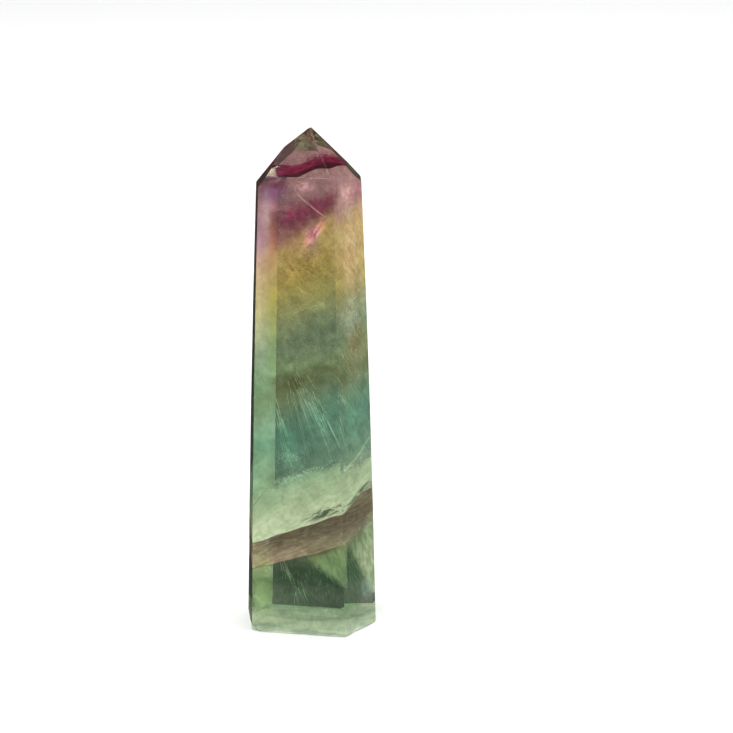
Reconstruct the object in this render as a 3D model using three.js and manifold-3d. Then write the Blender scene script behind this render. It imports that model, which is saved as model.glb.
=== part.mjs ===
// A fluorite tower: one piece of banded fluorite, ground from a sawn block into a six-sided
// column that narrows upward and ends in a six-faced point. It stands on its flat sawn base.
// Millimetres, +Z up. The front of the tower faces -Y, and +X is its right.

import * as THREE from 'three';
import { mergeVertices } from 'three/addons/utils/BufferGeometryUtils.js';
import Module from 'manifold-3d';

const wasm = await Module();
wasm.setup();

// ---- Driving dimensions -------------------------------------------------------------------

const height = 100;         // base to the blunted tip
const columnHeight = 90;    // the part of the height that the six sides cover
const blockWidth = 36;      // the sawn block that the tower is ground from
const blockHeight = 112;
const crownCuts = 4;        // each side is ground in this many cuts, one above the other
const arrisWidth = 0.08;    // the narrow flat that breaks each sharp edge
const footArrisWidth = 0.4; // the base edge is broken more, so that it doesn't splinter

// The six sides, in order round the tower, seen from above anticlockwise.
//   turn   the way the side faces, in degrees from the front (-Y) towards the right (+X)
//   reach  from the axis to the side, at the base
//   lean   how far the side tips inward, in degrees, at the middle of the column
//   crown  how much more it tips in at the top of the column than at the base
// Over each side is one face of the point.
//   shoulder  how high the face starts above the base
//   slope     how steeply it rises, in degrees from level
const sides = [
  { name: 'left', turn: -85.4, reach: 12.7, lean: 1.55, crown: 0.95, shoulder: 89.4, slope: 53.5 },
  { name: 'front', turn: -11.7, reach: 10.8, lean: 2.35, crown: 1.05, shoulder: 91.5, slope: 49 },
  { name: 'frontRight', turn: 53, reach: 12.6, lean: 2.65, crown: 0.8, shoulder: 91.2, slope: 45 },
  { name: 'right', turn: 90.5, reach: 12.7, lean: 1.75, crown: 1.1, shoulder: 89.6, slope: 47 },
  { name: 'back', turn: 168, reach: 10.55, lean: 2.6, crown: 0.9, shoulder: 92.5, slope: 54 },
  { name: 'backLeft', turn: 233.4, reach: 12.65, lean: 2.4, crown: 0.2, shoulder: 89.0, slope: 51.5 },
];

// The front left foot is rubbed round. Each rub is one more cut across that corner.
//   turn   the way the cut faces      steep  its slope, in degrees from level
//   depth  how far it goes in, from the corner of the untouched base
const footRubs = [
  { turn: -52, steep: 72, depth: 0.35 },
  { turn: -48, steep: 50, depth: 0.75 },
  { turn: -38, steep: 28, depth: 0.65 },
];

// Shell-shaped chips on the edges of the column, at a height above the base.
const edgeChips = [
  { edge: 'backLeft', up: 13.5, radius: 12, depth: 0.32 },
  { edge: 'left', up: 47.5, radius: 1.8, depth: 0.18 },
  { edge: 'frontRight', up: 79.2, radius: 1.6, depth: 0.2 },
  { edge: 'frontRight', up: 31.0, radius: 2.2, depth: 0.22 },
  { edge: 'right', up: 62.0, radius: 2.4, depth: 0.25 },
  { edge: 'back', up: 20.5, radius: 2.6, depth: 0.3 },
  { edge: 'backLeft', up: 71.5, radius: 2.0, depth: 0.22 },
];

// Chips on the base edge, at a fraction of the way along the foot of a side.
const footChips = [
  { side: 'front', along: 0.56, radius: 1.5, depth: 0.5 },
  { side: 'frontRight', along: 0.35, radius: 1.9, depth: 0.55 },
  { side: 'right', along: 0.7, radius: 1.6, depth: 0.5 },
  { side: 'back', along: 0.22, radius: 2.2, depth: 0.65 },
  { side: 'backLeft', along: 0.62, radius: 1.8, depth: 0.55 },
];

// ---- Small helpers ------------------------------------------------------------------------

const radians = THREE.MathUtils.degToRad;
const up = new THREE.Vector3(0, 0, 1);

/** The level direction that a face with this turn looks towards. */
function heading(turn) {
  return new THREE.Vector3(Math.sin(radians(turn)), -Math.cos(radians(turn)), 0);
}

/** A flat face: its outward normal is tipped up from level, and it passes through a point. */
function face(turn, tip, point) {
  const normal = heading(turn).multiplyScalar(Math.cos(radians(tip)));
  normal.z = Math.sin(radians(tip));
  return { normal, offset: normal.dot(point) };
}

/** A closed three.js geometry as a manifold solid. */
function solidOf(geometry) {
  geometry.deleteAttribute('normal');
  geometry.deleteAttribute('uv');
  const merged = mergeVertices(geometry);
  return new wasm.Manifold(new wasm.Mesh({
    numProp: 3,
    vertProperties: new Float32Array(merged.attributes.position.array),
    triVerts: new Uint32Array(merged.index.array),
  }));
}

/** A manifold solid as a three.js geometry with flat faces. */
function geometryOf(solid) {
  const mesh = solid.getMesh();
  const geometry = new THREE.BufferGeometry();
  geometry.setAttribute('position', new THREE.BufferAttribute(mesh.vertProperties, 3));
  geometry.setIndex(new THREE.BufferAttribute(mesh.triVerts, 1));
  return geometry;
}

/** Grinds away everything outside a flat face. */
function grind(stone, flat) {
  const lap = 3 * blockHeight;
  const waste = new THREE.BoxGeometry(lap, lap, lap);
  waste.translate(0, 0, lap / 2);
  waste.applyQuaternion(new THREE.Quaternion().setFromUnitVectors(up, flat.normal));
  const place = flat.normal.clone().multiplyScalar(flat.offset);
  waste.translate(place.x, place.y, place.z);
  return stone.subtract(solidOf(waste));
}

/** The narrow flat of a given width that breaks the edge between two faces. */
function arris(a, b, width) {
  const sum = a.normal.clone().add(b.normal);
  const halfTurn = a.normal.angleTo(b.normal) / 2;
  const cutIn = width * Math.tan(halfTurn) / 2;
  return {
    normal: sum.clone().normalize(),
    offset: (a.offset + b.offset) / sum.length() - cutIn,
  };
}

/** Where two faces and a level plane meet. */
function corner(a, b, level) {
  const along = a.normal.clone().cross(b.normal);
  const toA = b.normal.clone().cross(up).multiplyScalar(a.offset);
  const toB = up.clone().cross(a.normal).multiplyScalar(b.offset);
  const toLevel = along.clone().multiplyScalar(level);
  return toA.add(toB).add(toLevel).divideScalar(along.z);
}

// ---- The faces ----------------------------------------------------------------------------

/** The cuts of one side, from the foot up: each leans in a little more than the one below. */
function sideFaces({ turn, reach, lean, crown }) {
  const step = columnHeight / crownCuts;
  const point = heading(turn).multiplyScalar(reach);
  const cuts = [];
  for (let i = 0; i < crownCuts; i++) {
    const tip = lean + crown * (i / (crownCuts - 1) - 0.5);
    cuts.push(face(turn, tip, point));
    point.addScaledVector(heading(turn), -step * Math.tan(radians(tip)));
    point.z += step;
  }
  return cuts;
}

/** The face of the point over one side: it starts where that side reaches the shoulder. */
function pointFace({ turn, shoulder, slope }, topCut) {
  const level = heading(turn);
  const inset = (topCut.offset - topCut.normal.z * shoulder) / topCut.normal.dot(level);
  const start = level.clone().multiplyScalar(inset);
  start.z = shoulder;
  return face(turn, 90 - slope, start);
}

const columnFaces = sides.map(sideFaces);
const pointFaces = sides.map((side, i) => pointFace(side, columnFaces[i][crownCuts - 1]));
const base = { normal: up.clone().negate(), offset: 0 };
const bluntTip = { normal: up.clone(), offset: height };

const next = (i) => (i + 1) % sides.length;
const sideNumber = (name) => sides.findIndex((side) => side.name === name);

// ---- Grinding the tower -------------------------------------------------------------------

/** The sawn block, standing with its underside a little below the base. */
function sawnBlock() {
  const block = new THREE.BoxGeometry(blockWidth, blockWidth, blockHeight);
  block.translate(0, 0, blockHeight / 2 - 2);
  return solidOf(block);
}

/** The narrow flats along every edge of the column, the shoulder, the point and the base. */
function arrises() {
  const flats = [];
  sides.forEach((_, i) => {
    const top = crownCuts - 1;
    for (let k = 0; k < crownCuts; k++) {
      flats.push(arris(columnFaces[i][k], columnFaces[next(i)][k], arrisWidth));
    }
    flats.push(arris(pointFaces[i], pointFaces[next(i)], arrisWidth));
    flats.push(arris(columnFaces[i][top], pointFaces[i], arrisWidth));
    flats.push(arris(columnFaces[i][0], base, footArrisWidth));
  });
  return flats;
}

/** The cuts that round the front left foot. */
function rubbedFoot() {
  const foot = corner(columnFaces[0][0], columnFaces[1][0], 0);
  return footRubs.map(({ turn, steep, depth }) => {
    const cut = face(turn, steep - 90, foot);
    return { normal: cut.normal, offset: cut.offset - depth };
  });
}

/** A shell-shaped chip: a ball of waste that just bites into an edge between two faces. */
function chipOut(stone, a, b, point, { radius, depth }) {
  const outward = a.normal.clone().add(b.normal).normalize();
  const centre = point.clone().addScaledVector(outward, radius - depth);
  const ball = new THREE.IcosahedronGeometry(radius, radius > 5 ? 6 : 2);
  ball.translate(centre.x, centre.y, centre.z);
  return stone.subtract(solidOf(ball));
}

function makeTower() {
  const flats = [base, bluntTip, ...columnFaces.flat(), ...pointFaces, ...arrises(), ...rubbedFoot()];
  let stone = flats.reduce(grind, sawnBlock());

  for (const chip of edgeChips) {
    const i = sideNumber(chip.edge);
    const k = Math.floor(chip.up / columnHeight * crownCuts);
    const [a, b] = [columnFaces[i][k], columnFaces[next(i)][k]];
    stone = chipOut(stone, a, b, corner(a, b, chip.up), chip);
  }

  for (const chip of footChips) {
    const i = sideNumber(chip.side);
    const before = (i + sides.length - 1) % sides.length;
    const start = corner(columnFaces[before][0], columnFaces[i][0], 0);
    const end = corner(columnFaces[i][0], columnFaces[next(i)][0], 0);
    stone = chipOut(stone, columnFaces[i][0], base, start.lerp(end, chip.along), chip);
  }
  return stone;
}

// ---- The finished part --------------------------------------------------------------------

const fluorite = new THREE.MeshStandardMaterial({ color: 0x7d9277, roughness: 0.08, metalness: 0 });

const towerGeometry = geometryOf(makeTower());
towerGeometry.computeVertexNormals();
towerGeometry.computeBoundingBox();
const middle = towerGeometry.boundingBox.getCenter(new THREE.Vector3());

const tower = new THREE.Mesh(towerGeometry, fluorite);
tower.name = 'tower';
tower.position.set(-middle.x, -middle.y, 0);

const fluoriteTower = new THREE.Group();
fluoriteTower.add(tower);

export default fluoriteTower;
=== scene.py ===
# %% [markdown]
# # A fluorite tower
# A fluorite tower is one piece of banded fluorite, ground and polished to a column with a point.
# It is see-through, so its looks come from three things: the flat polished faces, the colour that
# the stone grew in layers, and the veils, cracks and needles that are caught inside it.
# The lesson takes them in that order, after the camera, the floor and the light.

# %% Load the packed tower
import math
import random

import bmesh
import bpy
from mathutils import Matrix, Vector, noise


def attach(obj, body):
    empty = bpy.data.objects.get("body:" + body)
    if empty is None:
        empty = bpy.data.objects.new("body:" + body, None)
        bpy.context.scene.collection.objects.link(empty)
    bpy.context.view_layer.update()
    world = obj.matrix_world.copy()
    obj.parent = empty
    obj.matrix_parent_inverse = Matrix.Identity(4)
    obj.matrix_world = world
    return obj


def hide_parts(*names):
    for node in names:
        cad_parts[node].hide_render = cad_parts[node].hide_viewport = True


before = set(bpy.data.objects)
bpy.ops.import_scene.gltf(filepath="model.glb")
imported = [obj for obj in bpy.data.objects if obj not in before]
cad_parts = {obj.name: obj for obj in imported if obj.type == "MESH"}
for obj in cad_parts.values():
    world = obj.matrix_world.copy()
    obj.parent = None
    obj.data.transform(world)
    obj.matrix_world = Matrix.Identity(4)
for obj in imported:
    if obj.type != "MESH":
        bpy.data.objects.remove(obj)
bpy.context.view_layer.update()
MM = 0.001
RIGHT, BACK, FRONT, UP = (1, 0, 0), (0, 1, 0), (0, -1, 0), (0, 0, 1)

# %% [markdown]
# ## The camera
# A long lens stands half a metre in front and looks down on the tower by about fifteen degrees,
# as a person does who holds a stone up to look at it. The camera turns a degree to the right,
# which leaves the tower a little left of the middle.

# %% Camera
EYE = Vector((0.17, -483.0, 184.9)) * MM
LOOK_DOWN = math.radians(15.35)
LOOK_RIGHT = math.radians(1.3)
LENS_MM = 124.67
SENSOR_MM = 36.0
CLIP = (0.01, 20.0)


def make_camera():
    data = bpy.data.cameras.new("camera")
    data.lens = LENS_MM
    data.sensor_width = SENSOR_MM
    data.clip_start, data.clip_end = CLIP
    camera = bpy.data.objects.new("camera", data)
    camera.location = EYE
    camera.rotation_euler = (math.radians(90) - LOOK_DOWN, 0, -LOOK_RIGHT)
    bpy.context.collection.objects.link(camera)
    bpy.context.scene.camera = camera
    return camera


camera = make_camera()
print("camera at", [round(c / MM) for c in camera.location], "mm")

# %% [markdown]
# ## A notebook for materials
# Every finish below is written as a recipe: a few named steps that add nodes and link them.
# All patterns read Object coordinates, which are the stone's own metres, so that a layer passes
# straight through every face and every piece of the stone.

# %% Recipes
class Recipe:
    """A node material that is written down step by step."""

    def __init__(self, name):
        self.material = bpy.data.materials.new(name)
        self.material.use_nodes = True
        self.nodes = self.material.node_tree.nodes
        self.nodes.clear()
        self.place = self.node("TexCoord").outputs["Object"]

    def node(self, kind, **settings):
        made = self.nodes.new("ShaderNode" + kind)
        for key, value in settings.items():
            setattr(made, key, value)
        return made

    def feed(self, socket, value):
        """Links a socket to another node's output, or sets its plain value."""
        if isinstance(value, bpy.types.NodeSocket):
            self.material.node_tree.links.new(value, socket)
        else:
            socket.default_value = value

    def math(self, operation, a, b=0.0, c=0.0):
        made = self.node("Math", operation=operation)
        for socket, value in zip(made.inputs, (a, b, c)):
            self.feed(socket, value)
        return made.outputs[0]

    def times(self, *factors):
        product = factors[0]
        for factor in factors[1:]:
            product = self.math("MULTIPLY", product, factor)
        return product

    def along(self, direction, vector=None):
        """How far a point lies along a direction, in metres."""
        made = self.node("VectorMath", operation="DOT_PRODUCT")
        self.feed(made.inputs[0], vector or self.place)
        made.inputs[1].default_value = direction
        return made.outputs["Value"]

    def grained(self, turn, stretch):
        """Coordinates in which a pattern is turned, and stretched along its own axes."""
        made = self.node("Mapping", vector_type="TEXTURE")
        self.feed(made.inputs["Vector"], self.place)
        made.inputs["Rotation"].default_value = [math.radians(angle) for angle in turn]
        made.inputs["Scale"].default_value = stretch
        return made.outputs[0]

    def clouds(self, size, detail=4.0, roughness=0.55, vector=None, distortion=0.0, colour=False):
        """Soft noise whose lumps measure about size, from 0 to 1."""
        made = self.node("TexNoise")
        self.feed(made.inputs["Vector"], vector or self.place)
        made.inputs["Scale"].default_value = 1 / size
        made.inputs["Detail"].default_value = detail
        made.inputs["Roughness"].default_value = roughness
        made.inputs["Distortion"].default_value = distortion
        return made.outputs["Color" if colour else "Fac"]

    def wandering(self, size, reach, detail=4.0, roughness=0.6):
        """The coordinates, each pushed about by soft noise, so that patterns wander."""
        centred = self.node("VectorMath", operation="SUBTRACT")
        self.feed(centred.inputs[0], self.clouds(size, detail, roughness, colour=True))
        centred.inputs[1].default_value = (0.5, 0.5, 0.5)
        pushed = self.node("VectorMath", operation="MULTIPLY_ADD")
        self.feed(pushed.inputs[0], centred.outputs[0])
        pushed.inputs[1].default_value = (2 * reach, 2 * reach, 2 * reach)
        self.feed(pushed.inputs[2], self.place)
        return pushed.outputs[0]

    def span(self, value, low, high, to_low=0.0, to_high=1.0):
        """Stretches a range of values to another, with soft ends."""
        made = self.node("MapRange", interpolation_type="SMOOTHSTEP")
        self.feed(made.inputs["Value"], value)
        for key, limit in zip(("From Min", "From Max", "To Min", "To Max"),
                              (low, high, to_low, to_high)):
            self.feed(made.inputs[key], limit)
        return made.outputs[0]

    def step(self, direction, low, high, to_low=0.0, to_high=1.0):
        """A soft step along a direction, between two places in mm."""
        return self.span(self.along(direction), low * MM, high * MM, to_low, to_high)

    def blot(self, centre, radii, vector=None, soft=0.6, turn=(0, 0, 0)):
        """1 in the middle of a soft patch and 0 outside it. Centre and radii are in mm."""
        made = self.node("Mapping", vector_type="TEXTURE")
        self.feed(made.inputs["Vector"], vector or self.place)
        made.inputs["Location"].default_value = [c * MM for c in centre]
        made.inputs["Rotation"].default_value = [math.radians(angle) for angle in turn]
        made.inputs["Scale"].default_value = [r * MM for r in radii]
        length = self.node("VectorMath", operation="LENGTH")
        self.feed(length.inputs[0], made.outputs[0])
        return self.span(length.outputs["Value"], 1 + soft, 1 - soft)

    def ramp(self, value, stops):
        """Colours along a value from 0 to 1."""
        made = self.node("ValToRGB")
        self.feed(made.inputs["Fac"], value)
        elements = made.color_ramp.elements
        while len(elements) < len(stops):
            elements.new(1.0)
        for element, (position, colour) in zip(elements, stops):
            element.position = position
            element.color = (*colour, 1)
        return made.outputs["Color"]

    def grey(self, value):
        made = self.node("CombineColor")
        for socket in made.inputs:
            self.feed(socket, value)
        return made.outputs[0]

    def mix(self, factor, a, b, blend="MIX"):
        made = self.node("Mix", data_type="RGBA", blend_type=blend)
        self.feed(made.inputs[0], factor)
        self.feed(made.inputs[6], a if isinstance(a, bpy.types.NodeSocket) else (*a, 1))
        self.feed(made.inputs[7], b if isinstance(b, bpy.types.NodeSocket) else (*b, 1))
        return made.outputs[2]

    def surface(self, **values):
        """The Principled surface, by the names of its sockets with _ for a space."""
        shader = self.node("BsdfPrincipled")
        for key, value in values.items():
            self.feed(shader.inputs[key.replace("_", " ")], value)
        output = self.node("OutputMaterial")
        self.feed(output.inputs["Surface"], shader.outputs[0])
        return shader, output


def new_piece(name, bm, *materials):
    """Turns a bmesh into an object at the origin, with its place in its mesh."""
    mesh = bpy.data.meshes.new(name)
    bm.to_mesh(mesh)
    bm.free()
    for material in materials:
        mesh.materials.append(material)
    piece = bpy.data.objects.new(name, mesh)
    bpy.context.collection.objects.link(piece)
    return piece


print("the steps of a recipe:", *(step for step in vars(Recipe) if not step.startswith("_")))

# %% [markdown]
# ## Floor, light and cards
# A clear stone shows what is behind it. On a pale floor alone it would look washed out, so cards
# lie, stand and hang round it, as in a studio for glassware: a dark one behind, which only shows
# through the stone, and others that only show in its gloss, so that each polished face mirrors
# something dark. Three soft boxes and a pale room light it.

# %% Floor
FLOOR_RADIUS = 4.0
FLOOR_LEVEL = -0.1  # in mm, a little under the tower's base
CARD_LEVEL = -0.05  # in mm, between the floor and the base


def make_floor():
    recipe = Recipe("pale floor")
    recipe.surface(Base_Color=(0.8, 0.8, 0.79, 1), Roughness=0.9)
    bm = bmesh.new()
    bmesh.ops.create_circle(bm, cap_ends=True, segments=96, radius=FLOOR_RADIUS)
    bmesh.ops.translate(bm, vec=(0, 0, FLOOR_LEVEL * MM), verts=bm.verts)
    floor = new_piece("floor", bm, recipe.material)
    return floor


make_floor()
print("floor:", 2 * FLOOR_RADIUS, "m across")


# %% Cards
def card(name, near, far, shade, sees, height=None, lift=0):
    """A card that only some rays meet, level between two corners, x and y in mm.

    With a height it stands up instead, above the line from near to far."""
    recipe = Recipe(name)
    # Nothing lights a card: its colour is painted in as its own glow.
    recipe.surface(Base_Color=(0, 0, 0, 1), Roughness=1.0, Specular_IOR_Level=0.0,
                   Emission_Color=shade(recipe), Emission_Strength=1.0)
    (x0, y0), (x1, y1) = near, far
    bm = bmesh.new()
    size = (x1 - x0, height or y1 - y0, 1)
    turn = Matrix.Rotation(math.radians(90 if height else 0), 4, "X")
    middle = Vector(((x0 + x1) / 2, (y0 + y1) / 2, (height or 0) / 2 + CARD_LEVEL + lift))
    place = Matrix.Translation(middle * MM) @ turn @ Matrix.Diagonal((*size, 1))
    bmesh.ops.create_grid(bm, x_segments=1, y_segments=1, size=0.5 * MM, matrix=place)
    piece = new_piece(name, bm, recipe.material)
    piece.visible_camera = False
    piece.visible_diffuse = False
    piece.visible_shadow = False
    piece.visible_transmission = sees == "transmission"
    piece.visible_glossy = sees == "glossy"
    print(name + ": from", near, "to", far, "mm")
    return piece


def shade_behind(recipe):
    """Dark close behind the stone, where it is a painted shadow of the stone, paler further off,
    and like the room at its far end.
    """
    away = recipe.step(BACK, 18, 130)
    leftward = recipe.step((-0.8, -0.35, 0), -20, 35)
    rightward = recipe.step((1, -0.7, 0), 0, 40)
    near_far = recipe.mix(away, (0.14, 0.15, 0.14), (0.48, 0.48, 0.46))
    paler = recipe.mix(leftward, near_far, (0.64, 0.62, 0.60))
    graded = recipe.mix(rightward, paler, (0.05, 0.05, 0.05))
    horizon = recipe.step(BACK, 650, 1350)
    return recipe.mix(horizon, graded, (0.86, 0.87, 0.88))


def shade_for_gloss(recipe):
    return (0.04, 0.04, 0.035, 1)


card("card behind", (-1200, 6), (1200, 1400), shade_behind, "transmission")
card("gloss card behind", (-1200, 14), (1200, 1400), shade_for_gloss, "glossy")
card("gloss card left", (-1200, -13), (-12.5, 14), shade_for_gloss, "glossy")
card("gloss card in front", (-900, -1400), (60, -13), shade_for_gloss, "glossy")
card("gloss card right", (13, -70), (160, 140), shade_for_gloss, "glossy")
card("gloss card standing left", (-1400, 1400), (-120, 1400), shade_for_gloss, "glossy", 900)
card("gloss card standing right", (80, 1400), (800, 1400), shade_for_gloss, "glossy", 300)
card("gloss card overhead", (-560, -560), (-230, -230), shade_for_gloss, "glossy", lift=1150)
card("gloss card high right", (1000, 800), (1800, 1500), shade_for_gloss, "glossy", lift=1400)


# %% Light
AIM = Vector((0, 0, 0.05))  # half way up the tower
ROOM_COLOUR = (0.95, 0.96, 0.97, 1)
ROOM_STRENGTH = 0.85


def softbox(name, place, size, watts):
    light = bpy.data.lights.new(name, "AREA")
    light.shape = "RECTANGLE"
    light.size, light.size_y = size
    light.energy = watts
    lamp = bpy.data.objects.new(name, light)
    lamp.location = place
    lamp.rotation_euler = (AIM - Vector(place)).to_track_quat("-Z", "Y").to_euler()
    bpy.context.collection.objects.link(lamp)
    print(name, "soft box:", watts, "W")
    return lamp


softbox("key", (-0.7, -1.0, 0.9), (0.9, 0.9), 14)
softbox("overhead", (0.2, 0.2, 1.4), (1.2, 1.2), 12)
softbox("right", (1.1, -0.5, 0.7), (0.6, 1.0), 6)

world = bpy.data.worlds.new("studio")
world.use_nodes = True
room = world.node_tree.nodes["Background"]
room.inputs["Color"].default_value = ROOM_COLOUR
room.inputs["Strength"].default_value = ROOM_STRENGTH
bpy.context.scene.world = world
bpy.context.scene.view_settings.view_transform = "Standard"
bpy.context.scene.cycles.transparent_max_bounces = 24

# %% [markdown]
# ## The colour that the stone grew
# Fluorite grows outwards in layers, each coloured by what was in the water at the time. Here the
# layers lean up to the right: clear green at the foot, teal, olive, gold, and a purple smear
# under a rose grey top. Clear glass is tinted where light goes in and comes out, so the layers
# are a ramp along one leaning direction, roughened by noise so that no edge is straight.

# %% Layers
LAYER_UP = Vector((-0.42, 0.20, 1.0))
SMEAR_UP = Vector((-0.62, 0.20, 1.0))
SMEAR_TOP_UP = Vector((-0.30, 0.20, 1.0))
LAYERS = [  # height in mm along LAYER_UP, and the colour of the light that comes through
    (0, (0.26, 0.46, 0.29)),
    (7, (0.24, 0.44, 0.27)),
    (13, (0.25, 0.44, 0.25)),
    (17, (0.68, 0.70, 0.52)),
    (22, (0.76, 0.84, 0.64)),
    (28.5, (0.70, 0.84, 0.62)),
    (32, (0.36, 0.62, 0.44)),
    (41, (0.22, 0.50, 0.36)),
    (44, (0.27, 0.52, 0.35)),
    (47, (0.32, 0.46, 0.27)),
    (50, (0.30, 0.38, 0.18)),
    (53.5, (0.38, 0.54, 0.29)),
    (59, (0.37, 0.51, 0.30)),
    (63, (0.51, 0.59, 0.30)),
    (67, (0.66, 0.62, 0.22)),
    (72, (0.88, 0.68, 0.20)),
    (76, (1.0, 0.70, 0.26)),
    (100, (1.0, 0.60, 0.36)),
]
ROSE_GREY = (0.68, 0.38, 0.39)
PURPLE = (0.28, 0.024, 0.08)
DARK_PURPLE = (0.06, 0.012, 0.03)
FRECKLE = (0.34, 0.30, 0.10)
FOOT_TINT = (0.68, 0.80, 0.62)
print(len(LAYERS), "stops of colour over the layers")

# %% [markdown]
# Nothing grows as evenly as a ramp, so soft blots of other colours lie over it: paler or darker
# patches, maroon ones near the point, clear green ones at the foot. Each is a soft ball in place.
# One near-black blot low on the left edge is painted shade, not grown colour.

# %% Blots
BLOTS = [  # centre and radii in mm, colour, and how strong
    ((-10.5, -2.0, 89.0), (2.5, 6, 9.0), (0.24, 0.04, 0.06), 0.92),
    ((-6.0, -5.9, 88.7), (2.3, 3, 2.3), (0.30, 0.09, 0.34), 0.8),
    ((-6.0, -5.8, 90.4), (1.6, 2.4, 1.2), (0.22, 0.03, 0.09), 0.85),
    ((8.0, -4.5, 87.0), (3.6, 4.2, 4.6), (1.0, 0.62, 0.62), 0.75),
    ((9.4, -3.0, 87.7), (1.8, 2.8, 1.9), (0.66, 0.22, 0.34), 0.85),
    ((7.8, -4.4, 86.6), (1.5, 2.0, 0.9), (0.78, 0.36, 0.44), 0.7),
    ((-8.8, -1.0, 93.0), (2.4, 5, 4.5), (0.25, 0.05, 0.08), 0.9),
    ((-6.9, -5.3, 92.4), (1.6, 2.5, 1.6), (1.0, 1.0, 1.0), 1.0),
    ((8.4, -3.3, 78.6), (1.3, 1.8, 1.2), (1.0, 0.95, 0.80), 0.8),
    ((0.4, -8.0, 79.6), (1.4, 2.5, 3.0), (0.95, 0.60, 0.56), 0.85),
    ((-3.5, -7.2, 79.4), (3.6, 3.0, 2.4), (1.0, 0.48, 0.36), 0.5),
    ((8.5, -5.0, 76.0), (4.0, 5.0, 11.0), (1.0, 0.77, 0.52), 0.7),
    ((8.5, -5.0, 64.5), (4.0, 5.0, 4.5), (0.44, 0.60, 0.50), 0.6),
    ((2.2, -8.8, 61.0), (4.0, 2.5, 5.0), (0.24, 0.36, 0.24), 0.6),
    ((-3.6, -7.9, 57.5), (1.6, 2.0, 1.6), (0.26, 0.40, 0.28), 0.5),
    ((9.0, -4.6, 58.0), (3.0, 3.4, 3.8), (0.47, 0.36, 0.16), 0.85),
    ((8.6, -5.4, 54.5), (2.2, 3.5, 2.2), (0.62, 0.68, 0.44), 0.6),
    ((-0.8, -8.6, 42.5), (2.6, 3.0, 6.5), (0.15, 0.36, 0.30), 0.5),
    ((6.3, -8.4, 51.8), (1.3, 2, 1.4), (0.16, 0.18, 0.09), 0.7),
    ((-4.4, -8.2, 51.3), (3.2, 3, 1.9), (0.18, 0.22, 0.10), 0.7),
    ((-9.6, -7.5, 9.5), (2.2, 5, 7.0), (0.50, 0.80, 0.30), 0.8),
    ((10.8, -4.5, 13.0), (1.9, 3.4, 5.5), (0.66, 0.84, 0.60), 0.75),
    ((11.4, -5.0, 5.2), (2.6, 3.4, 3.2), (0.95, 1.0, 0.95), 0.7),
    ((-2.8, -9.0, 11.0), (4.2, 3.0, 4.6), (0.17, 0.30, 0.19), 0.6),
    # painted shade: a near-black blot that darkens the foot of the left edge
    ((-13.4, -2.0, 11.0), (1.3, 5.0, 8.0), (0.08, 0.10, 0.06), 0.85),
]
BESIDE_CRACK = ((0.2, -7.4, 86.3), (0.13, 4.0, 4.6))
CRACK_TURN = (0, -51, 0)
CRACK_TINT = (0.95, 0.72, 0.60)
print(len(BLOTS), "blots")

# %% [markdown]
# The layers, the smear, its specks and the blots are now mixed in that order. The coordinates
# are pushed about by noise first, which is what makes every border wander.

# %% The grown colour
def grown_colour(recipe):
    """The colour that the stone grew, as a function of place."""
    wander = recipe.wandering(14 * MM, 3 * MM, 3.0)
    ruffled = recipe.wandering(5 * MM, 2.2 * MM, 6.0, 0.65)

    height = recipe.along(LAYER_UP, wander)
    colour = recipe.ramp(recipe.math("DIVIDE", height, 100 * MM),
                         [(h / 100, tint) for h, tint in LAYERS])
    smear = recipe.along(SMEAR_UP, ruffled)
    colour = recipe.mix(recipe.span(smear, 78.5 * MM, 83.5 * MM), colour, ROSE_GREY)
    band = recipe.times(recipe.span(smear, 79.0 * MM, 82.5 * MM),
                        recipe.span(recipe.along(SMEAR_TOP_UP, ruffled), 87.6 * MM, 84.6 * MM))
    patchy = recipe.span(recipe.clouds(2.2 * MM, 6.0, 0.65), 0.30, 0.62, 0.78, 1.0)
    front = recipe.times(recipe.step(FRONT, -2, 2), recipe.step(RIGHT, -8.0, -5.0),
                         recipe.step((-0.8, -0.6, 0), -1.5, 0.5))
    band = recipe.times(band, front)
    colour = recipe.mix(recipe.times(band, patchy), colour, PURPLE)
    specks = recipe.span(recipe.clouds(0.9 * MM, 8.0, 0.78), 0.50, 0.58)
    colour = recipe.mix(recipe.times(band, specks, 0.6), colour, DARK_PURPLE)
    freckles = recipe.times(recipe.span(recipe.clouds(1.5 * MM, 8.0, 0.75), 0.50, 0.60),
                            recipe.blot((-1.0, -7.5, 74.0), (5.0, 4.0, 7.0)))
    colour = recipe.mix(recipe.times(freckles, 0.6), colour, FRECKLE)
    above_foot = recipe.step(UP, 3.5, 6.0)
    colour = recipe.mix(above_foot, FOOT_TINT, colour)
    for centre, radii, tint, strength in BLOTS:
        mask = recipe.times(recipe.blot(centre, radii, ruffled), strength)
        colour = recipe.mix(mask, colour, tint)
    beside_crack = recipe.times(recipe.blot(*BESIDE_CRACK, turn=CRACK_TURN), 0.6)
    return recipe.mix(beside_crack, colour, CRACK_TINT)


# %% Lumps and grain
GRAIN_TURN = (25, -26, 0)


def mottled(recipe, colour):
    """The colour made uneven: soft lumps, and a little grain the way the needles grew."""
    lumps = recipe.clouds(2.4 * MM, 9.0, 0.74, distortion=0.5)
    lumps = recipe.grey(recipe.span(lumps, 0.30, 0.70, 0.60, 1.44))
    grain = recipe.clouds(0.8 * MM, 6.0, 0.75, recipe.grained(GRAIN_TURN, (1, 1, 4)))
    grain = recipe.grey(recipe.span(grain, 0.35, 0.68, 0.84, 1.16))
    return recipe.mix(0.7, recipe.mix(0.85, colour, lumps, "MULTIPLY"), grain, "MULTIPLY")


# %% [markdown]
# ## The stone
# The packed tower already has the right faces, so the stone is a copy of it: its loose triangles
# are merged and its flat faces made whole, the cuts of one side are shaded as one, and the faces
# under the foot stay ground, not polished. Lamps can't find their way through clear glass, so for
# shadow rays alone the surface is a tinted window, which lights what is inside and tints the
# shadow on the floor.

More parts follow.
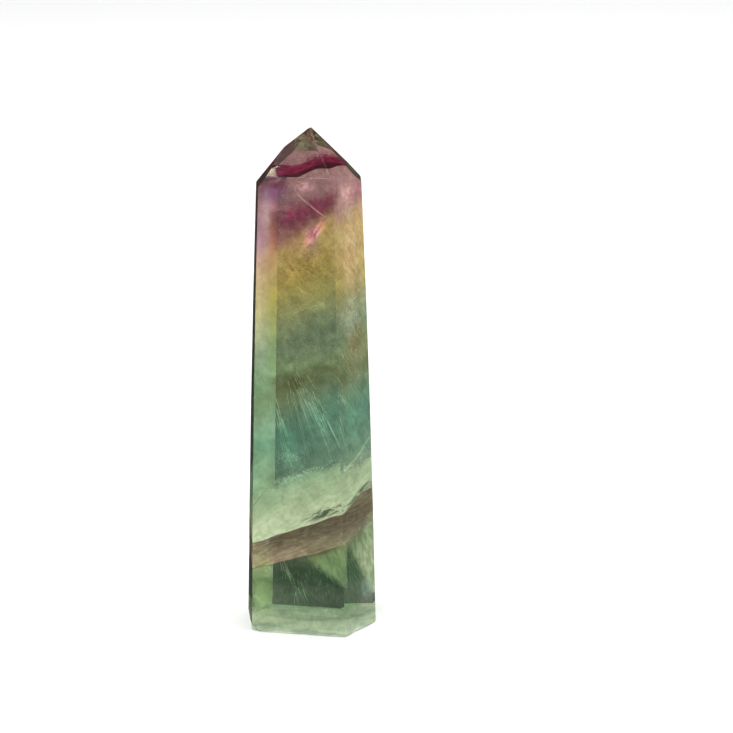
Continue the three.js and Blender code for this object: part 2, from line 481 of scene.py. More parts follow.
# %% Stone
MERGE_REACH = 0.002 * MM
FLAT_WITHIN = math.radians(0.05)
SAME_SIDE = math.radians(4)  # the cuts of one side turn by less than this
LOOKS_DOWN = -0.3  # a face whose normal is lower than this is ground, not polished
FLUORITE_IOR = 1.434


def cad_copy():
    """A merged copy of the packed tower, with its flat faces whole again."""
    bm = bmesh.new()
    bm.from_mesh(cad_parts["tower"].data)
    bmesh.ops.remove_doubles(bm, verts=bm.verts, dist=MERGE_REACH)
    bmesh.ops.dissolve_limit(bm, angle_limit=FLAT_WITHIN, verts=bm.verts, edges=bm.edges)
    return bm


def polished():
    """Clear, smooth fluorite. Lamps shine in through it, tinted, so that what is inside is lit."""
    recipe = Recipe("polished fluorite")
    colour = mottled(recipe, grown_colour(recipe))
    shader, output = recipe.surface(
        Base_Color=colour, Roughness=0.015, IOR=FLUORITE_IOR, Transmission_Weight=1.0)
    window = recipe.node("BsdfTransparent")
    recipe.feed(window.inputs["Color"], recipe.mix(0.5, colour, (1, 1, 1)))
    either = recipe.node("MixShader")
    recipe.feed(either.inputs[0], recipe.node("LightPath").outputs["Is Shadow Ray"])
    recipe.feed(either.inputs[1], shader.outputs[0])
    recipe.feed(either.inputs[2], window.outputs[0])
    recipe.feed(output.inputs["Surface"], either.outputs[0])
    absorb = recipe.node("VolumeAbsorption")
    absorb.inputs["Color"].default_value = (0.70, 0.68, 0.62, 1)
    absorb.inputs["Density"].default_value = 34.0
    recipe.feed(output.inputs["Volume"], absorb.outputs[0])
    return recipe.material


def ground():
    """The foot and its broken edge: ground, cloudy and pale."""
    recipe = Recipe("ground fluorite")
    smudges = recipe.clouds(8 * MM, 6.0, 0.6, recipe.grained((0, 0, 12), (1.5, 1, 1)))
    colour = recipe.mix(recipe.span(smudges, 0.34, 0.58), (0.36, 0.46, 0.36), (0.74, 0.78, 0.68))
    recipe.surface(Base_Color=colour, Roughness=0.5)
    return recipe.material


def make_stone():
    bm = cad_copy()
    for face in bm.faces:
        face.smooth = True
        if face.normal.z < LOOKS_DOWN:
            face.material_index = 1
    stone = new_piece("stone", bm, polished(), ground())
    stone.data.set_sharp_from_angle(angle=SAME_SIDE)
    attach(stone, "root")
    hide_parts("tower")
    return stone


stone = make_stone()
print("stone:", len(stone.data.polygons), "faces")

# %% [markdown]
# ## What is inside
# Everything inside is a mesh of its own: sheets for the veils and healed cracks, cones for the
# needles. A sheet may be made larger than the stone, because the next helper trims it: it cuts
# the mesh along each broad face of the stone, moved a little inwards.

# %% Trimming to the stone
BROAD_FACE = 12 * MM * MM
SKIN = 0.06 * MM
CUT_REACH = 1e-7


def broad_faces():
    """Where each broad face of the stone lies, and which way it faces."""
    bm = cad_copy()
    faces = [(face.calc_center_median(), face.normal.copy())
             for face in bm.faces if face.calc_area() > BROAD_FACE]
    bm.free()
    return faces


STONE_FACES = broad_faces()
print("the stone has", len(STONE_FACES), "broad faces")


def keep_inside(bm, skin=SKIN):
    """Cuts away what would reach nearer than skin to a face of the stone."""
    for point, normal in STONE_FACES:
        bmesh.ops.bisect_plane(
            bm, geom=bm.verts[:] + bm.edges[:] + bm.faces[:], dist=CUT_REACH,
            plane_co=point - normal * skin, plane_no=normal, clear_outer=True)


def inclusion(name, bm, material, trim=True):
    """A piece inside the stone, trimmed to it unless it already fits."""
    if trim:
        keep_inside(bm)
    piece = new_piece(name, bm, material)
    for face in piece.data.polygons:
        face.use_smooth = True
    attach(piece, "root")
    print(name + ":", len(piece.data.polygons), "faces")
    return piece


def cloudy(name, colour, cover):
    """A milky finish. Both arguments are functions of the recipe."""
    recipe = Recipe(name)
    recipe.surface(Base_Color=colour(recipe), Roughness=0.6, Specular_IOR_Level=0.2,
                   Alpha=cover(recipe))
    return recipe.material


# %% [markdown]
# ### The veil and the mauve layer
# A crack that healed while the stone still grew is a veil: a milky sheet right across it. It
# follows the layers, so it is a grid whose height is worked out for each place. A mauve growth
# layer runs below it, the same way. Both fade out in rags, by noise in their alpha.

# %% Veil
def sheet_across(height, cells=60, width=30 * MM):
    """A sheet right across the stone, at a height in mm that a function gives for each place."""
    bm = bmesh.new()
    bmesh.ops.create_grid(bm, x_segments=cells, y_segments=cells, size=width / 2)
    for v in bm.verts:
        v.co.z = height(v.co.x / MM, v.co.y / MM) * MM
    return bm


def veil_height(x, y):
    ripple = noise.noise(Vector((x * 0.25, y * 0.12, 0.0))) * 0.5
    return 24.6 + 0.42 * x + 0.17 * y + 0.009 * (y + 9) ** 2 + ripple


def veil_colour(recipe):
    streaks = recipe.clouds(1.3 * MM, 5.0, 0.62, recipe.grained((0, 0, 28), (5, 1, 1)))
    lumps = recipe.clouds(5 * MM, 4.0, 0.6)
    mixed = recipe.math("ADD", recipe.times(streaks, 0.6), recipe.times(lumps, 0.5))
    milky = recipe.mix(recipe.span(mixed, 0.36, 0.74), (0.46, 0.51, 0.41), (0.68, 0.70, 0.60))
    wisps = recipe.clouds(1.4 * MM, 5.0, 0.7, recipe.grained((0, 0, 24), (4, 1, 1)))
    wisps = recipe.span(wisps, 0.45, 0.51)
    patches = recipe.math("MAXIMUM", recipe.blot((3.2, -7.2, 25.0), (4.8, 2.2, 3)),
                          recipe.blot((8.4, -5.4, 27.5), (1.6, 5.8, 3), turn=(0, 0, -35)))
    foam = recipe.times(recipe.step(BACK, 4, 9),
                        recipe.span(recipe.clouds(0.8 * MM, 6.0, 0.7), 0.48, 0.60))
    milky = recipe.mix(recipe.times(foam, 0.7), milky, (0.86, 0.90, 0.86))
    bright = recipe.blot((-1.0, 3.7, 26.3), (3.5, 3.5, 4.0))
    milky = recipe.mix(recipe.times(bright, 0.5), milky, (0.74, 0.76, 0.66))
    dull = recipe.times(recipe.step(RIGHT, -5, -8), recipe.step(BACK, -2, 4))
    milky = recipe.mix(recipe.times(dull, 0.7), milky, (0.38, 0.44, 0.34))
    return recipe.mix(recipe.times(patches, wisps), milky, (0.07, 0.10, 0.07))


def veil_cover(recipe):
    back = recipe.step(BACK, 3, 13)
    back_right = recipe.times(recipe.step(RIGHT, 0, 5), recipe.step(BACK, 4, 9), 0.35)
    ragged = recipe.clouds(2.5 * MM, 8.0, 0.75, recipe.grained((0, 0, 30), (1.8, 1, 1)))
    gone = recipe.math("ADD", back, back_right)
    return recipe.span(recipe.math("SUBTRACT", recipe.math("ADD", ragged, 0.8), gone),
                       0.30, 0.90, 0.0, 0.94)


inclusion("veil", sheet_across(veil_height), cloudy("milky veil", veil_colour, veil_cover))


# %% Mauve layer
def mauve_height(x, y):
    return veil_height(x, y) - 5.35 - 0.075 * (x + 10)


def mauve_colour(recipe):
    streaks = recipe.clouds(0.9 * MM, 6.0, 0.65, recipe.grained((0, 0, 8), (7, 1, 1)))
    return recipe.ramp(streaks, [(0.30, (0.30, 0.20, 0.18)), (0.48, (0.46, 0.33, 0.29)),
                                 (0.58, (0.62, 0.49, 0.41)), (0.70, (0.46, 0.46, 0.31))])


def mauve_cover(recipe):
    middle = recipe.blot((3.0, -4.0, 18.0), (4.0, 9.0, 9.0), soft=0.7)
    ragged = recipe.clouds(2.2 * MM, 7.0, 0.72, recipe.grained((0, 0, 8), (3, 1, 1)))
    held = recipe.math("SUBTRACT", recipe.math("ADD", ragged, 0.6), recipe.times(middle, 0.6))
    right_rim = recipe.step((0.8, -0.6, 0), 9.6, 11.2, 1.0, 0.35)
    return recipe.times(recipe.span(held, 0.1, 0.8, 0.45, 0.92), right_rim)


inclusion("mauve_layer", sheet_across(mauve_height),
          cloudy("mauve layer", mauve_colour, mauve_cover))


# %% [markdown]
# ### The dark layer in the point
# One thin maroon layer crosses the point. Seen from a little above, its near edge is a sharp dark
# line and the rest of it fades into rose blotches.

# %% Point layer
def point_height(x, y):
    step = min(max((x + 2.5) / 4.5, 0.0), 1.0)
    wave = noise.noise(Vector((x * 0.4 + 4, y * 0.2, 3.0))) * 0.35
    return 91.4 + 1.8 * step * step * (3 - 2 * step) - 0.1 * (y + 6) + wave


def point_colour(recipe):
    blotches = recipe.clouds(1.4 * MM, 6.0, 0.65)
    behind = recipe.mix(recipe.span(blotches, 0.42, 0.60), (0.07, 0.0, 0.022), (0.22, 0.016, 0.08))
    front = recipe.step((0.25, -1, 0), 1.5, 3.8)
    return recipe.mix(front, behind, (0.035, 0.0, 0.008))


def point_cover(recipe):
    back = recipe.step(BACK, -2.5, 7)
    right_of_edge = recipe.step(RIGHT, -6.8, -5.8)
    ragged = recipe.math("MULTIPLY_ADD", recipe.clouds(1.3 * MM, 7.0, 0.75), 1.9, 0.15)
    cover = recipe.span(recipe.math("SUBTRACT", ragged, back), 0.15, 0.70)
    return recipe.times(cover, right_of_edge)


inclusion("point_layer", sheet_across(point_height),
          cloudy("maroon layer", point_colour, point_cover))

# %% [markdown]
# ### Clouds, a feather and a film
# Smaller healed cracks lie just under the polished sides. Each is a leaf: a grid laid parallel
# to one side at some depth, gently bent, that fades towards its rim by its own UV map.

# %% Leaves
SIDES = {"front": (-11.7, 2.35), "right": (53.0, 2.65)}  # which way it faces, and its lean


def leaf(bm, side, centre, size, depth, tilt=0.0, bend=0.5, cells=14):
    """Adds a leaf. Centre is a point of the stone's surface, all in mm and degrees."""
    turn, lean = (math.radians(angle) for angle in SIDES[side])
    inward = Vector((-math.sin(turn), math.cos(turn), 0))
    stand = Matrix.Rotation(turn, 4, "Z") @ Matrix.Rotation(-lean, 4, "X") \
        @ Matrix.Rotation(math.radians(tilt), 4, "Y") @ Matrix.Rotation(math.radians(90), 4, "X")
    place = Matrix.Translation((Vector(centre) + inward * depth) * MM)
    made = bmesh.ops.create_grid(bm, x_segments=cells, y_segments=cells, size=0.5 * MM,
                                 matrix=place @ stand @ Matrix.Diagonal((*size, 1, 1)),
                                 calc_uvs=True)
    for v in made["verts"]:
        v.co += inward * noise.noise(v.co / MM * 0.3) * bend * MM


def leaves(name, material, *each):
    """One piece made of several leaves. Each lists what leaf needs, with any extras last."""
    bm = bmesh.new()
    bm.loops.layers.uv.new("leaf")
    for settings in each:
        leaf(bm, *settings[:4], **(settings[4] if len(settings) > 4 else {}))
    return inclusion(name, bm, material)


print("leaves can lie along the sides:", *SIDES)

# %% [markdown]
# The colour of a leaf wavers between two tones. Its cover is strong in the middle and torn
# towards the rim, and both can be drawn out along the way the needles grew.

# %% Tones and covers
NEEDLE_TURN = (0, -26, 0)
GRAIN_RIGHT = (35, -26, 0)


def two_tone(size, a, b, turn=(0, 0, 0), stretch=(1, 1, 1)):
    """A colour that wavers between two tones, in lumps of a size in mm."""
    def colour(recipe):
        tone = recipe.clouds(size * MM, 5.0, 0.6, recipe.grained(turn, stretch))
        return recipe.mix(recipe.span(tone, 0.38, 0.62), a, b)
    return colour


def rim_fade(recipe, soft=0.9):
    """1 in the middle of a leaf and 0 at its rim."""
    centred = recipe.node("VectorMath", operation="SUBTRACT")
    recipe.feed(centred.inputs[0], recipe.node("UVMap", uv_map="leaf").outputs[0])
    centred.inputs[1].default_value = (0.5, 0.5, 0.0)
    length = recipe.node("VectorMath", operation="LENGTH")
    recipe.feed(length.inputs[0], centred.outputs[0])
    return recipe.span(length.outputs["Value"], 0.5, 0.5 * (1 - soft))


def ragged_cover(most, size, turn=(0, 0, 0), stretch=(1, 1, 1), low=0.35, high=0.75, soft=0.9):
    """Thickest in the middle of the leaf, and torn away towards its rim."""
    def cover(recipe):
        rags = recipe.clouds(size * MM, 7.0, 0.72, recipe.grained(turn, stretch))
        held = recipe.math("MULTIPLY_ADD", rim_fade(recipe, soft), 0.6, recipe.times(rags, 0.6))
        return recipe.span(held, low + 0.15, high + 0.15, 0.0, most)
    return cover


def streak_cover(most, size, turn, stretch):
    """A band along the leaf with torn edges and thin ends."""
    def cover(recipe):
        parts = recipe.node("SeparateXYZ")
        recipe.feed(parts.inputs[0], recipe.node("UVMap", uv_map="leaf").outputs[0])
        off_axis, off_middle = (
            recipe.math("ABSOLUTE", recipe.math("SUBTRACT", parts.outputs[axis], 0.5))
            for axis in ("Y", "X"))
        rags = recipe.clouds(size * MM, 8.0, 0.75, recipe.grained(turn, stretch))
        torn = recipe.math("MULTIPLY_ADD", recipe.math("SUBTRACT", rags, 0.5), 1.6, off_axis)
        return recipe.times(recipe.span(torn, 0.42, 0.02, 0.0, most),
                            recipe.span(off_middle, 0.5, 0.25))
    return cover


# %% Clouds and hazes
leaves("rose_clouds",
       cloudy("rose cloud", two_tone(1.5, (0.60, 0.52, 0.52), (0.92, 0.88, 0.85)),
              ragged_cover(0.46, 1.6, low=0.30, high=0.85)),
       ("front", (-1.0, -6.75, 89.8), (8.5, 4.4), 0.8),
       ("front", (-3.4, -6.6, 84.2), (8.0, 6.0), 1.6, {"tilt": 35}),
       ("front", (-0.6, -6.9, 89.6), (6.0, 3.0), 0.4),
       ("right", (7.4, -4.4, 88.0), (7.0, 7.0), 0.8),
       ("right", (8.0, -3.9, 87.6), (7.0, 9.0), 0.4),
       ("right", (8.4, -4.7, 62.5), (11.0, 15.0), 1.4, {"tilt": -20}))
leaves("rose_grain",
       cloudy("rose grain", two_tone(0.9, (0.56, 0.46, 0.38), (0.94, 0.88, 0.78),
                                     GRAIN_RIGHT, (1, 1, 5)),
              ragged_cover(0.50, 1.1, GRAIN_RIGHT, (1, 1, 5), low=0.30, high=0.80)),
       ("right", (8.4, -4.2, 76.0), (9.0, 26.0), 1.2))
leaves("teal_haze",
       cloudy("teal haze", two_tone(1.0, (0.32, 0.47, 0.41), (0.62, 0.71, 0.63),
                                    NEEDLE_TURN, (1, 1, 3)),
              ragged_cover(0.42, 1.5, NEEDLE_TURN, (1, 1, 3), soft=1.0)),
       ("right", (8.6, -6.0, 43.0), (7.0, 20.0), 1.5, {"tilt": -20}),
       ("front", (-4.4, -8.8, 37.5), (8.5, 17.0), 1.6, {"tilt": -14}),
       ("right", (11.4, -5.4, 8.0), (8.0, 12.0), 0.8, {"tilt": -20}))
leaves("growth_haze",
       cloudy("growth haze", two_tone(1.0, (0.46, 0.50, 0.38), (0.66, 0.68, 0.54)),
              streak_cover(0.26, 0.9, (0, -18, 0), (2.5, 1, 1))),
       ("front", (-0.4, -8.3, 66.2), (13.0, 3.6), 0.5, {"tilt": -18}),
       ("right", (8.6, -4.2, 67.4), (7.5, 3.0), 0.5, {"tilt": -28}),
       ("front", (-0.6, -8.8, 55.2), (13.0, 3.4), 0.6, {"tilt": -12}))


# %% Feather
leaves("feather",
       cloudy("rose feather", two_tone(0.5, (0.40, 0.20, 0.30), (0.70, 0.52, 0.58),
                                       (0, 32, 0), (1, 1, 5)),
              ragged_cover(0.8, 0.6, (0, 32, 0), (1, 1, 5), low=0.30, high=0.70)),
       ("front", (0.9, -8.0, 80.8), (3.4, 12.5), 0.6, {"tilt": 35, "bend": 0.3}),
       ("front", (0.2, -7.9, 81.0), (3.0, 5.6), 0.4, {"tilt": 40, "bend": 0.3}))


# %% [markdown]
# ### Olive wedges
# Low on the right, two olive clouds end along a slanting line with the dark clear foot below.
# Each is a leaf that is cut along a plane through that line.

# %% Olive wedges
def cut_leaf(bm, a, b, view=(0.1, 1.0, -0.2)):
    """Cuts a leaf along the plane through the line from a to b, in mm, and the way of view.

    Looking along view, what lies to the left of the line from a to b is kept."""
    a, b = Vector(a), Vector(b)
    bmesh.ops.bisect_plane(bm, geom=bm.verts[:] + bm.edges[:] + bm.faces[:], dist=CUT_REACH,
                           plane_co=a * MM, plane_no=(b - a).cross(Vector(view)).normalized(),
                           clear_inner=True)


def olive_wedge(name, side, centre, a, b, view, starts, top, tones):
    """A leaf cut along a slanting line, and thickest a little above it.

    starts says along which way, and between which places in mm, it sets in. top gives the slope
    of its upper end, and the heights between which it thins out."""
    bm = bmesh.new()
    bm.loops.layers.uv.new("leaf")
    leaf(bm, side, centre, (18.0, 22.0), 0.9, bend=0.6, cells=30)
    cut_leaf(bm, a, b, view)
    colour = two_tone(0.8, *tones, NEEDLE_TURN, (1, 1, 4))
    across = (Vector(b) - Vector(a)).cross(Vector(view)).normalized()
    direction, near, far = starts
    slope, full, gone = top

    def cover(recipe):
        above = recipe.math("SUBTRACT", recipe.along(across), across.dot(Vector(a)) * MM)
        rise = recipe.span(above, 0.0, 2.5 * MM, 0.3, 1.0)
        fall = recipe.step((slope, 0, 1), full, gone, 1.0, 0.0)
        rags = recipe.clouds(1.2 * MM, 7.0, 0.72, recipe.grained(NEEDLE_TURN, (1, 1, 3)))
        inside = recipe.step(direction, near, far)
        held = recipe.math("ADD", recipe.times(rise, fall, 0.75), recipe.times(rags, 0.6))
        return recipe.times(recipe.span(held, 0.35, 0.85, 0.0, 0.92), inside, fall)

    return inclusion(name, bm, cloudy(name.replace("_", " "), colour, cover))


olive_wedge("olive_wedge_front", "front", (2.4, -10.6, 15.5),
            (-1.0, -10.0, 15.1), (5.9, -11.6, 10.4), (0.1, 1.0, -0.3),
            (RIGHT, -2.5, 0.5), (-0.3, 15.5, 19.0),
            ((0.42, 0.38, 0.27), (0.56, 0.53, 0.38)))
olive_wedge("olive_wedge_right", "right", (8.6, -8.0, 17.0),
            (6.4, -10.7, 18.6), (12.1, -3.9, 6.5), (-0.6, 0.8, -0.3),
            ((0.6, 0.8, 0), -4.6, -3.0), (-0.5, 13.3, 17.2),
            ((0.50, 0.46, 0.38), (0.78, 0.72, 0.62)))

# %% [markdown]
# ### The film of painted reflection
# Along the left edge the stone shows a bright strip of light reflected inside it. A pale film like
# frosted glass stands there, painted in that strip's colours: it is painted reflection. It is a
# leaf too, but its right rim is straight, so it is cut along a plane instead of fading.

# %% Film of painted reflection
REFLECTION_FILM = [  # height in mm, and the colour of the film there, which is painted reflection
    (30, (0.55, 0.52, 0.41)),
    (35, (0.52, 0.50, 0.40)),
    (43.9, (0.45, 0.50, 0.45)),
    (44.5, (0.36, 0.48, 0.43)),
    (52, (0.40, 0.46, 0.45)),
    (56, (0.51, 0.51, 0.50)),
    (60, (0.47, 0.45, 0.48)),
    (68, (0.45, 0.46, 0.62)),
    (72, (0.42, 0.40, 0.57)),
    (76, (0.39, 0.35, 0.48)),
    (80, (0.37, 0.36, 0.43)),
    (84, (0.50, 0.56, 0.60)),
    (87.5, (0.40, 0.46, 0.47)),
    (91, (0.18, 0.16, 0.20)),
]


def painted_reflection_film():
    """The film: coloured by height as painted reflection, warmer towards its right rim, and faded
    out at its foot.
    """
    bm = bmesh.new()
    bm.loops.layers.uv.new("leaf")
    leaf(bm, "front", (-8.7, -6.95, 60.0), (8.0, 64.0), 0.5, bend=0.1, cells=30)
    cut_leaf(bm, (-6.75, -7.8, 48.0), (-6.3, -7.0, 72.0))

    def colour(recipe):
        up = recipe.math("DIVIDE", recipe.along(UP), 100 * MM)
        tinted = recipe.ramp(up, [(z / 100, tint) for z, tint in REFLECTION_FILM])
        darker = recipe.times(recipe.step(RIGHT, -8.4, -6.6), recipe.step(UP, 72, 82))
        tinted = recipe.mix(darker, tinted, (0.34, 0.26, 0.30))
        amber = recipe.times(recipe.step(RIGHT, -8.9, -7.2), recipe.step(UP, 68.5, 73),
                             recipe.step(UP, 86, 81))
        tinted = recipe.mix(amber, tinted, (0.88, 0.74, 0.54), "MULTIPLY")
        paler = recipe.times(recipe.step(RIGHT, -8.9, -9.8), recipe.step(UP, 56, 64))
        tinted = recipe.mix(paler, tinted, (1.2, 1.22, 1.28), "MULTIPLY")
        olive = recipe.times(recipe.step(RIGHT, -9.2, -6.8), recipe.step(UP, 48, 56),
                             recipe.step(UP, 74, 68))
        tinted = recipe.mix(olive, tinted, (0.40, 0.42, 0.24))
        dusk = recipe.times(recipe.blot((-6.7, -6.4, 90.6), (1.7, 3.0, 1.5)), 0.85)
        return recipe.mix(dusk, tinted, (0.16, 0.04, 0.08))

    def cover(recipe):
        left = recipe.step(RIGHT, -9.2, -6.6, 0.86, 0.62)
        top_left = recipe.step(RIGHT, -8.6, -6.4, 0.86, 0.80)
        top = recipe.step(UP, 70, 80)
        foot = recipe.step((-0.4, 0.2, 1), 29, 33)
        both = recipe.math("ADD", recipe.times(left, recipe.math("SUBTRACT", 1.0, top)),
                           recipe.times(top_left, top))
        return recipe.times(both, foot)

    return inclusion("painted_reflection_film", bm, cloudy("pale film of painted reflection", colour, cover))


painted_reflection_film()


# %% [markdown]
# ### Cracks and growth lines
# A crack that reaches the surface is a narrow ribbon, seen nearly edge on. Its rim is a line
# through a few points, divided and then shaken a little. Rows of vertices go in from the rim, and
# faces join them, which keeps their order the same each run. Blender's vector noise starts from
# the clock unless it is given a seed, so it gets one.

# %% Ribbons
SHAKE_SEED = 32
DIVISIONS = 6  # of the line between one point and the next


def shaken(place):
    """A place in mm, moved a little by vector noise."""
    return place + noise.noise_vector(place * 0.9) * 0.22 + noise.noise_vector(place * 3) * 0.06


def ribbon(bm, points, inward, steps=4):
    """A ribbon from a line of points, in mm, that goes into the stone."""
    points, inward = [Vector(point) for point in points], Vector(inward)
    line = [a.lerp(b, k / DIVISIONS) for a, b in zip(points, points[1:]) for k in range(DIVISIONS)]
    rim = [shaken(place) for place in line + points[-1:]]
    rows = [[bm.verts.new((place + inward * step / steps) * MM) for place in rim]
            for step in range(steps + 1)]
    for near, far in zip(rows, rows[1:]):
        for k in range(len(rim) - 1):
            bm.faces.new((near[k], near[k + 1], far[k + 1], far[k]))


def line_cover(most):
    """A cover that comes and goes along a ribbon, up to most."""
    return lambda recipe: recipe.span(recipe.clouds(1.0 * MM, 5.0, 0.7), 0.3, 0.6, 0.1 * most, most)


def make_lines():
    noise.seed_set(SHAKE_SEED)
    bm = bmesh.new()
    ribbon(bm, [(-3.4, -6.2, 90.6), (-2.1, -6.6, 88.2), (-0.8, -7.0, 86.7), (3.0, -7.9, 84.1)],
           (0.24, 1.2, -0.16))
    ribbon(bm, [(-5.2, -6.0, 87.8), (-5.0, -5.9, 89.6), (-4.2, -6.0, 90.4), (-1.9, -6.3, 90.7)],
           (0.45, 0.8, -0.45))
    inclusion("crack", bm,
              cloudy("rose crack", two_tone(1, (0.80, 0.68, 0.62), (0.95, 0.88, 0.80)),
                     line_cover(0.95)))
    bm = bmesh.new()
    ribbon(bm, [(-3.0, -7.6, 64.9), (-0.1, -8.1, 66.1), (2.8, -8.7, 67.4)], (0.10, 1.4, 0.05))
    ribbon(bm, [(7.1, -6.2, 66.1), (9.1, -3.4, 67.2), (9.9, -2.2, 68.7)], (-0.5, 1.2, 0.05))
    inclusion("growth_lines", bm,
              cloudy("growth line", two_tone(1, (0.44, 0.52, 0.40), (0.66, 0.72, 0.56)),
                     line_cover(0.55)))
    bm = bmesh.new()
    ribbon(bm, [(6.4, -9.6, 33.5), (7.8, -7.7, 34.4), (9.5, -5.5, 35.7), (11.5, -2.4, 38.2)],
           (-0.7, 1.1, 0.1))
    inclusion("veil_line", bm,
              cloudy("veil line", two_tone(1, (0.50, 0.58, 0.44), (0.66, 0.74, 0.58)),
                     lambda recipe: 0.45))


make_lines()

# %% [markdown]
# ### Needles and fibres
# Fine needles grew down through the stone in fans. Each is a thin cone with three sides, which is
# enough at this size. Fibres are the same but shorter and finer, and lie in loose swarms. The
# random numbers start from a fixed seed, so each run gives the same stone.

# %% Needles
def needle(bm, first, last, radius):
    """A thin cone between two points, shortened where it would leave the stone."""
    for point, normal in STONE_FACES:
        out_first = (first - point).dot(normal) + SKIN
        out_last = (last - point).dot(normal) + SKIN
        if out_first > 0 and out_last > 0:
            return
        if out_first > 0:
            first = first.lerp(last, out_first / (out_first - out_last))
        elif out_last > 0:
            last = last.lerp(first, out_last / (out_last - out_first))
    axis = last - first
    turn = axis.to_track_quat("Z", "Y").to_matrix().to_4x4()
    place = Matrix.Translation((first + last) / 2) @ turn
    bmesh.ops.create_cone(bm, segments=3, radius1=radius, radius2=0.0, depth=axis.length,
                          cap_ends=True, matrix=place)


def fan(bm, start, end, count, spread, seed, thick=0.06):
    """Needles from about one place towards another, that spread as they go."""
    rng = random.Random(seed)
    start, end = Vector(start) * MM, Vector(end) * MM
    for _ in range(count):
        side = Vector([rng.gauss(0, 1) for _ in range(3)]) * MM
        first = start.lerp(end, rng.uniform(-0.05, 0.50)) + side * spread * 0.5
        reach = rng.uniform(0.30, 0.90)
        last = first + (end - start) * reach + side * spread * 0.7 * reach
        needle(bm, first, last, thick * MM * rng.uniform(0.5, 1.2))


def swarm(bm, centre, radii, direction, count, length, seed, stray=0.35, thick=0.022):
    """Short fibres scattered round a centre, more or less along one direction."""
    rng = random.Random(seed)
    direction = Vector(direction).normalized()
    for _ in range(count):
        middle = Vector([c + r * rng.gauss(0, 0.5) for c, r in zip(centre, radii)]) * MM
        axis = direction + Vector([rng.gauss(0, stray) for _ in range(3)])
        axis = axis.normalized() * length * MM * rng.uniform(0.3, 1.0)
        needle(bm, middle - axis / 2, middle + axis / 2, thick * MM * rng.uniform(0.6, 1.4))


# %% Fans and swarms
def make_needles():
    bm = bmesh.new()
    fan(bm, (-1.6, -8.0, 49.8), (5.2, -9.9, 35.9), 26, 0.9, 1)
    fan(bm, (-7.2, -7.0, 48.9), (-4.4, -8.1, 36.5), 15, 0.5, 2)
    fan(bm, (0.4, -8.2, 49.6), (4.6, -9.6, 39.0), 8, 0.8, 5)
    fan(bm, (0.5, -4.5, 49.0), (7.0, -6.4, 35.0), 14, 1.3, 3)
    fan(bm, (5.6, -9.2, 49.2), (9.0, -5.6, 42.4), 16, 0.6, 4)
    fan(bm, (-5.6, -7.0, 15.0), (-3.6, -7.6, 8.0), 16, 0.6, 8, 0.045)
    fan(bm, (-2.4, -5.0, 9.0), (-1.2, -5.6, 3.5), 14, 1.4, 9)
    fan(bm, (-3.0, 4.0, 50.0), (3.0, 4.0, 33.0), 30, 2.6, 10)
    pale = cloudy("pale needles", two_tone(2, (0.74, 0.80, 0.70), (0.93, 0.95, 0.88)),
                  lambda recipe: 0.95)
    return inclusion("needles", bm, pale, trim=False)


def make_fibres():
    bm = bmesh.new()
    fan(bm, (-4.6, -6.4, 73.6), (0.6, -7.8, 69.2), 30, 0.7, 11, 0.042)
    fan(bm, (-3.8, -6.8, 72.0), (3.2, -8.2, 65.0), 22, 1.4, 14, 0.05)
    fan(bm, (-3.0, -7.0, 73.2), (1.4, -8.0, 69.0), 9, 0.25, 17, 0.06)
    fan(bm, (-4.2, -6.5, 76.0), (-1.8, -7.1, 73.4), 8, 0.3, 18, 0.05)
    fan(bm, (7.0, -5.8, 71.5), (10.0, -2.4, 67.0), 16, 0.6, 12, 0.045)
    fan(bm, (6.4, -7.0, 80.0), (10.4, -1.6, 71.5), 30, 1.2, 15, 0.06)
    fan(bm, (6.6, -6.8, 66.0), (10.4, -1.8, 58.0), 20, 1.2, 16, 0.045)
    fan(bm, (5.2, -9.0, 58.2), (10.0, -3.6, 49.6), 24, 0.8, 13, 0.042)
    swarm(bm, (-1.5, -6.5, 72.5), (5, 2.5, 5), (0.72, -0.1, -0.62), 260, 2.4, 21, 0.5)
    swarm(bm, (8.2, -3.5, 74.0), (2.4, 3, 11), (0.42, 0.56, -0.72), 340, 3.6, 22, 0.30, 0.030)
    swarm(bm, (-0.5, -7.2, 60.0), (5, 2.5, 6), (0.65, -0.1, -0.5), 160, 2.0, 23, 0.7)
    swarm(bm, (8.5, -4.5, 54.0), (2.4, 3, 9), (0.42, 0.5, -0.75), 260, 3.2, 24, 0.35)
    swarm(bm, (-1.0, -7.5, 42.0), (6, 2.5, 7), (0.42, -0.1, -0.9), 280, 3.0, 25)
    swarm(bm, (8.0, -7.0, 16.0), (3, 3, 7), (0.5, 0.1, -0.8), 220, 2.6, 26)
    swarm(bm, (-1.0, -6.5, 10.0), (6, 3, 4), (0.3, -0.1, -0.9), 140, 2.0, 27)
    swarm(bm, (1.5, -9.0, 19.0), (7, 1.5, 2.5), (0.9, -0.15, 0.35), 160, 3.2, 29, 0.22)
    swarm(bm, (0.0, 3.0, 55.0), (7, 5, 25), (0.5, 0.1, -0.8), 300, 2.4, 28, 0.6)
    pale = cloudy("pale fibres", two_tone(3, (0.62, 0.58, 0.42), (0.90, 0.84, 0.68)),
                  lambda recipe: 0.7)
    return inclusion("fibres", bm, pale, trim=False)


make_needles()
make_fibres()
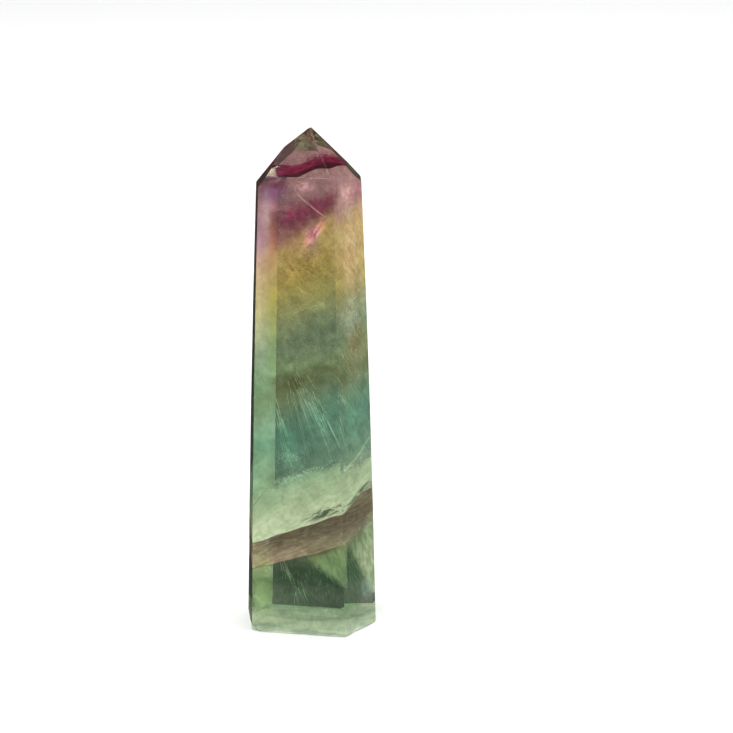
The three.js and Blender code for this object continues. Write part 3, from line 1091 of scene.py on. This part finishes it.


# %% Rust, and flecks with painted glints
def make_rust():
    bm = bmesh.new()
    swarm(bm, (-0.5, -6.9, 74.0), (3, 1.5, 4), (0.6, -0.1, -0.7), 260, 1.3, 31, 0.7, 0.04)
    swarm(bm, (9.0, -4.2, 59.0), (2.4, 1.5, 5), (0.5, 0.1, -0.8), 100, 1.8, 32, 0.5, 0.028)
    swarm(bm, (-3.0, -7.6, 51.0), (4, 1.5, 3), (0.6, -0.1, -0.7), 160, 1.2, 33, 0.7, 0.04)
    rust = cloudy("rust fibres", two_tone(3, (0.12, 0.07, 0.03), (0.24, 0.14, 0.06)),
                  lambda recipe: 0.7)
    return inclusion("rust", bm, rust, trim=False)


def scatter(bm, centre, radii, count, size, seed, lift=lambda x, y: 0.0):
    """Tiny flat flecks, turned every way, scattered round a centre."""
    rng = random.Random(seed)
    for _ in range(count):
        middle = Vector([c + r * rng.gauss(0, 0.5) for c, r in zip(centre, radii)])
        middle.z += lift(middle.x, middle.y)
        facing = Vector([rng.gauss(0, 1) for _ in range(3)]).to_track_quat("Z", "Y")
        place = Matrix.Translation(middle * MM) @ facing.to_matrix().to_4x4()
        bmesh.ops.create_circle(bm, cap_ends=True, segments=5, matrix=place,
                                radius=size * MM * rng.uniform(0.4, 1.0))


def make_flecks():
    bm = bmesh.new()
    scatter(bm, (-1.0, 8.0, 28.8), (9, 3, 0.5), 200, 0.16, 41, lambda x, y: 0.42 * (x + 1) + 0.3)
    scatter(bm, (-2.5, -7.9, 32.2), (5, 0.5, 0.6), 170, 0.11, 46, lambda x, y: 0.40 * (x + 2.5))
    scatter(bm, (-4.5, -7.6, 35.8), (3, 0.6, 1.2), 90, 0.10, 42)
    scatter(bm, (2.4, -10.4, 5.0), (2.2, 0.6, 0.5), 60, 0.12, 47)
    scatter(bm, (-5.0, -5.5, 86.0), (3, 1.5, 4), 60, 0.11, 43)
    scatter(bm, (8.6, -3.5, 84.0), (2, 1.5, 4), 50, 0.10, 44)
    scatter(bm, (0.0, -6.0, 70.0), (6, 2, 9), 90, 0.08, 45)
    # The flecks are tiny bubbles made plain white: their brightness is painted glint.
    white = cloudy("white flecks as painted glints", two_tone(2, (0.8, 0.82, 0.76), (0.95, 0.95, 0.9)),
                   lambda recipe: 0.9)
    return inclusion("flecks", bm, white)


make_rust()
make_flecks()

# %% [markdown]
